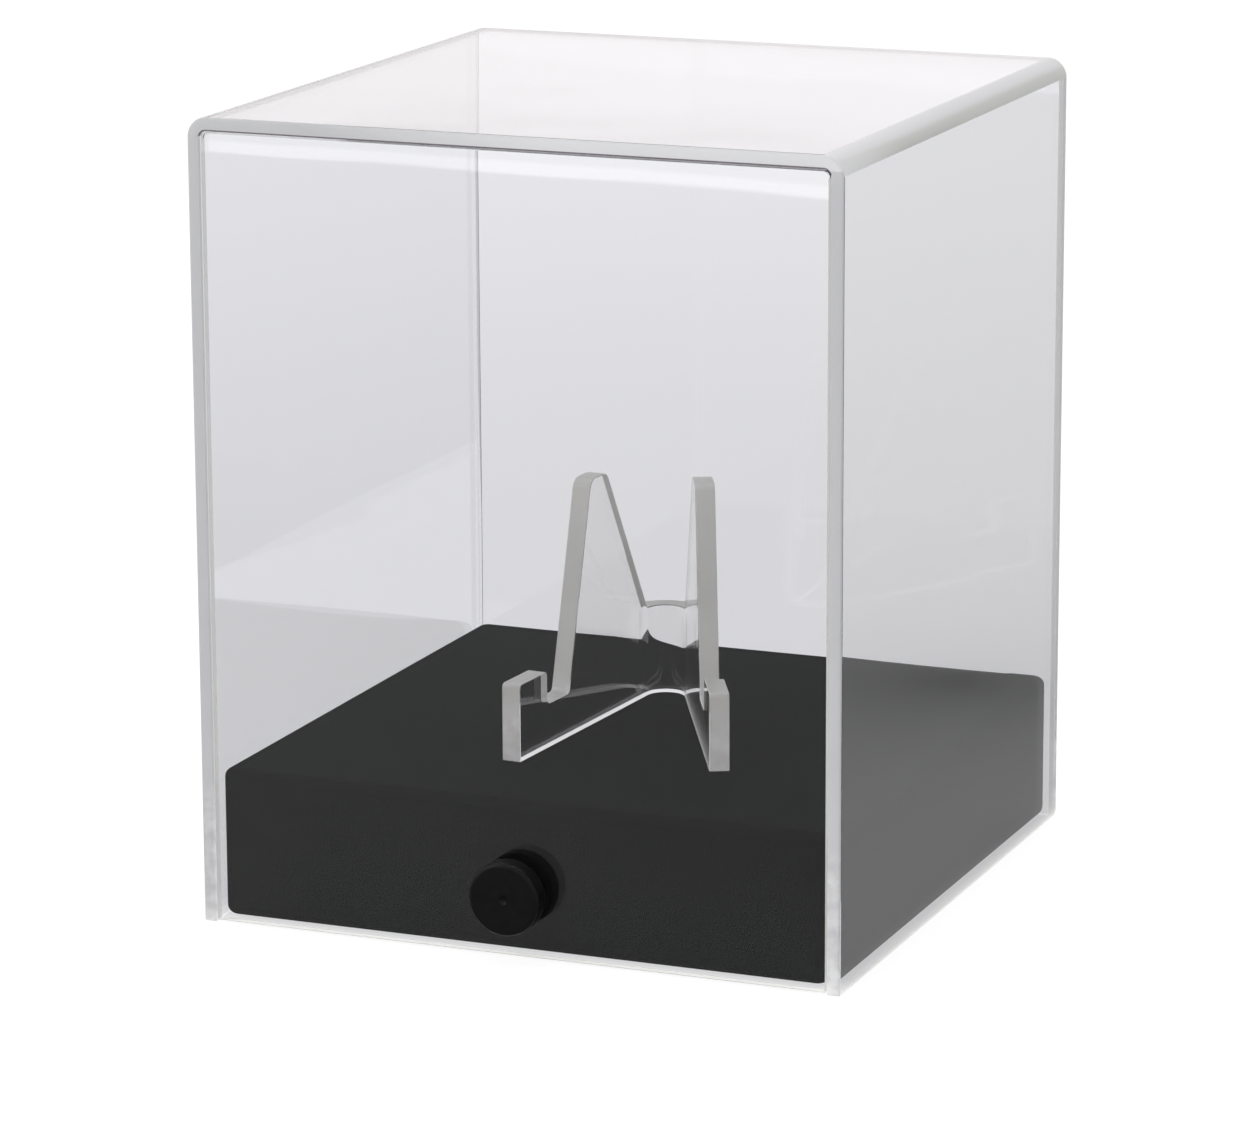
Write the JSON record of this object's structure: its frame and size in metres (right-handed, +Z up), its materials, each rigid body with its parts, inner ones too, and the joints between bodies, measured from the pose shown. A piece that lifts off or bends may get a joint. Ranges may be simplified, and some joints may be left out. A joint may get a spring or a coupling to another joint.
{
  "type": "acrylic display case",
  "caption": "Clear acrylic display case with a bent cover, a black base that pulls out with the front panel by a knob, and a small clear easel.",
  "frame": {"origin": "middle of the underside of everything: on the case's centre line, at table level, halfway between the knob's face and the back of the case", "axes": "+X to the right as seen from the front, +Y from the knob towards the back, +Z up"},
  "size_m": [0.1, 0.1042, 0.12],
  "materials": {
    "clear_acrylic": "clear cast acrylic sheet, polished faces, sawn edges",
    "easel_acrylic": "clear acrylic, flame-polished edges",
    "black_base": "matte black",
    "black_knob": "satin black, turned",
    "stud_steel": "zinc-plated thread",
    "pad_felt": "pressed felt"
  },
  "bodies": {
    "case": {"bent_cover": "clear_acrylic", "back_panel": "clear_acrylic"},
    "drawer": {"front_panel": "clear_acrylic", "base_block": "black_base", "knob": "black_knob", "knob_stud": "stud_steel", "glide_pads": "pad_felt"},
    "stand": {"easel": "easel_acrylic"}
  },
  "joints": [
    {"name": "drawer_slide", "type": "slide", "parent": "case", "child": "drawer", "axis": [0, -1, 0], "range_m": [0, 0.098]},
    {"name": "easel_lift", "type": "slide", "parent": "drawer", "child": "stand", "axis": [0, 0, 1], "range_m": [0, 0.05]}
  ]
}
